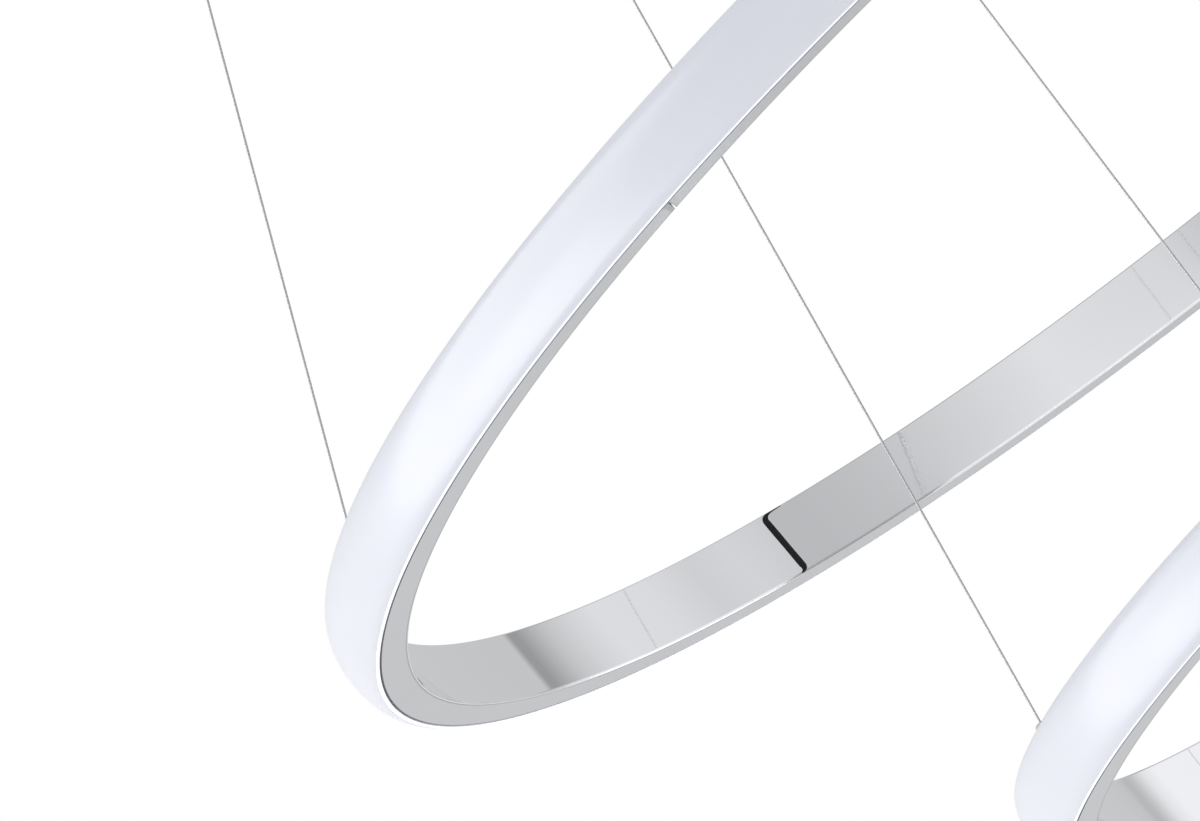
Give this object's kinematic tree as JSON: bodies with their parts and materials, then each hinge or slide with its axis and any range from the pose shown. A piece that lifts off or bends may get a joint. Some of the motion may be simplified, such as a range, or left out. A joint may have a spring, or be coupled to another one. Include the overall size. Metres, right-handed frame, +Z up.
{
  "type": "led ring chandelier",
  "caption": "Tiered chandelier of thin round lit rings with mirror-bright inner walls and opal outer bands, hung on fine cables from a round ceiling canopy.",
  "frame": {"origin": "centre of the ceiling bar's top face, on the ceiling, midway between its two fixing holes", "axes": "+Z up; +X to the right and +Y away as the picture's camera looks at it; the rings hang in level planes below the origin"},
  "size_m": [0.9129, 0.913, 1.1558],
  "materials": {
    "polished_steel": "polished, mirror-bright",
    "opal_acrylic": "smooth opal, softly glowing",
    "black_soft_strip": "matt black",
    "light_strip": "white flexible board",
    "zinc_plate": "bright zinc",
    "cable_wire": "fine twisted wire",
    "canopy_enamel": "satin white enamel",
    "plated_brass": "nickel plated",
    "supply_case": "white moulded case",
    "terminal_plastic": "natural moulding"
  },
  "bodies": {
    "ceiling_unit": {"mounting_bar": "zinc_plate", "canopy_shell": "canopy_enamel", "canopy_side_screws": "plated_brass", "terminal_block": "terminal_plastic", "gripper_clips": "zinc_plate", "upper_ring_driver": "supply_case", "upper_ring_grippers": "plated_brass", "middle_ring_driver": "supply_case", "middle_ring_grippers": "plated_brass", "lower_ring_driver": "supply_case", "lower_ring_grippers": "plated_brass"},
    "upper_ring": {"upper_ring_channel": "polished_steel", "upper_ring_joint_insert": "black_soft_strip", "upper_ring_diffuser": "opal_acrylic", "upper_ring_led_tape": "light_strip", "upper_ring_splice_plates": "zinc_plate", "upper_ring_cable_studs": "plated_brass", "upper_ring_cable_1": "cable_wire", "upper_ring_cable_2": "cable_wire", "upper_ring_cable_3": "cable_wire"},
    "upper_ring_release_tip_1_body": {"upper_ring_release_tip_1": "plated_brass"},
    "upper_ring_release_tip_2_body": {"upper_ring_release_tip_2": "plated_brass"},
    "upper_ring_release_tip_3_body": {"upper_ring_release_tip_3": "plated_brass"},
    "middle_ring": {"middle_ring_channel": "polished_steel", "middle_ring_joint_insert": "black_soft_strip", "middle_ring_diffuser": "opal_acrylic", "middle_ring_led_tape": "light_strip", "middle_ring_splice_plates": "zinc_plate", "middle_ring_cable_studs": "plated_brass", "middle_ring_cable_1": "cable_wire", "middle_ring_cable_2": "cable_wire", "middle_ring_cable_3": "cable_wire"},
    "middle_ring_release_tip_1_body": {"middle_ring_release_tip_1": "plated_brass"},
    "middle_ring_release_tip_2_body": {"middle_ring_release_tip_2": "plated_brass"},
    "middle_ring_release_tip_3_body": {"middle_ring_release_tip_3": "plated_brass"},
    "lower_ring": {"lower_ring_channel": "polished_steel", "lower_ring_joint_insert": "black_soft_strip", "lower_ring_diffuser": "opal_acrylic", "lower_ring_led_tape": "light_strip", "lower_ring_splice_plates": "zinc_plate", "lower_ring_cable_studs": "plated_brass", "lower_ring_cable_1": "cable_wire", "lower_ring_cable_2": "cable_wire", "lower_ring_cable_3": "cable_wire"},
    "lower_ring_release_tip_1_body": {"lower_ring_release_tip_1": "plated_brass"},
    "lower_ring_release_tip_2_body": {"lower_ring_release_tip_2": "plated_brass"},
    "lower_ring_release_tip_3_body": {"lower_ring_release_tip_3": "plated_brass"}
  },
  "joints": [
    {"name": "upper_ring_height", "type": "slide", "parent": "ceiling_unit", "child": "upper_ring", "axis": [0, 0, 1], "range_m": [-0.15, 0.15], "deforming": ["upper_ring_cable_1", "upper_ring_cable_2", "upper_ring_cable_3"]},
    {"name": "upper_ring_release_tip_1_press", "type": "slide", "parent": "ceiling_unit", "child": "upper_ring_release_tip_1_body", "axis": [0, 0, 1], "range_m": [0, 0.002], "stiffness_N_per_m": 400, "springref_m": -0.004},
    {"name": "upper_ring_release_tip_2_press", "type": "slide", "parent": "ceiling_unit", "child": "upper_ring_release_tip_2_body", "axis": [0, 0, 1], "range_m": [0, 0.002], "stiffness_N_per_m": 400, "springref_m": -0.004},
    {"name": "upper_ring_release_tip_3_press", "type": "slide", "parent": "ceiling_unit", "child": "upper_ring_release_tip_3_body", "axis": [0, 0, 1], "range_m": [0, 0.002], "stiffness_N_per_m": 400, "springref_m": -0.004},
    {"name": "middle_ring_height", "type": "slide", "parent": "ceiling_unit", "child": "middle_ring", "axis": [0, 0, 1], "range_m": [-0.15, 0.15], "deforming": ["middle_ring_cable_1", "middle_ring_cable_2", "middle_ring_cable_3"]},
    {"name": "middle_ring_release_tip_1_press", "type": "slide", "parent": "ceiling_unit", "child": "middle_ring_release_tip_1_body", "axis": [0, 0, 1], "range_m": [0, 0.002], "stiffness_N_per_m": 400, "springref_m": -0.004},
    {"name": "middle_ring_release_tip_2_press", "type": "slide", "parent": "ceiling_unit", "child": "middle_ring_release_tip_2_body", "axis": [0, 0, 1], "range_m": [0, 0.002], "stiffness_N_per_m": 400, "springref_m": -0.004},
    {"name": "middle_ring_release_tip_3_press", "type": "slide", "parent": "ceiling_unit", "child": "middle_ring_release_tip_3_body", "axis": [0, 0, 1], "range_m": [0, 0.002], "stiffness_N_per_m": 400, "springref_m": -0.004},
    {"name": "lower_ring_height", "type": "slide", "parent": "ceiling_unit", "child": "lower_ring", "axis": [0, 0, 1], "range_m": [-0.15, 0.15], "deforming": ["lower_ring_cable_1", "lower_ring_cable_2", "lower_ring_cable_3"]},
    {"name": "lower_ring_release_tip_1_press", "type": "slide", "parent": "ceiling_unit", "child": "lower_ring_release_tip_1_body", "axis": [0, 0, 1], "range_m": [0, 0.002], "stiffness_N_per_m": 400, "springref_m": -0.004},
    {"name": "lower_ring_release_tip_2_press", "type": "slide", "parent": "ceiling_unit", "child": "lower_ring_release_tip_2_body", "axis": [0, 0, 1], "range_m": [0, 0.002], "stiffness_N_per_m": 400, "springref_m": -0.004},
    {"name": "lower_ring_release_tip_3_press", "type": "slide", "parent": "ceiling_unit", "child": "lower_ring_release_tip_3_body", "axis": [0, 0, 1], "range_m": [0, 0.002], "stiffness_N_per_m": 400, "springref_m": -0.004}
  ]
}
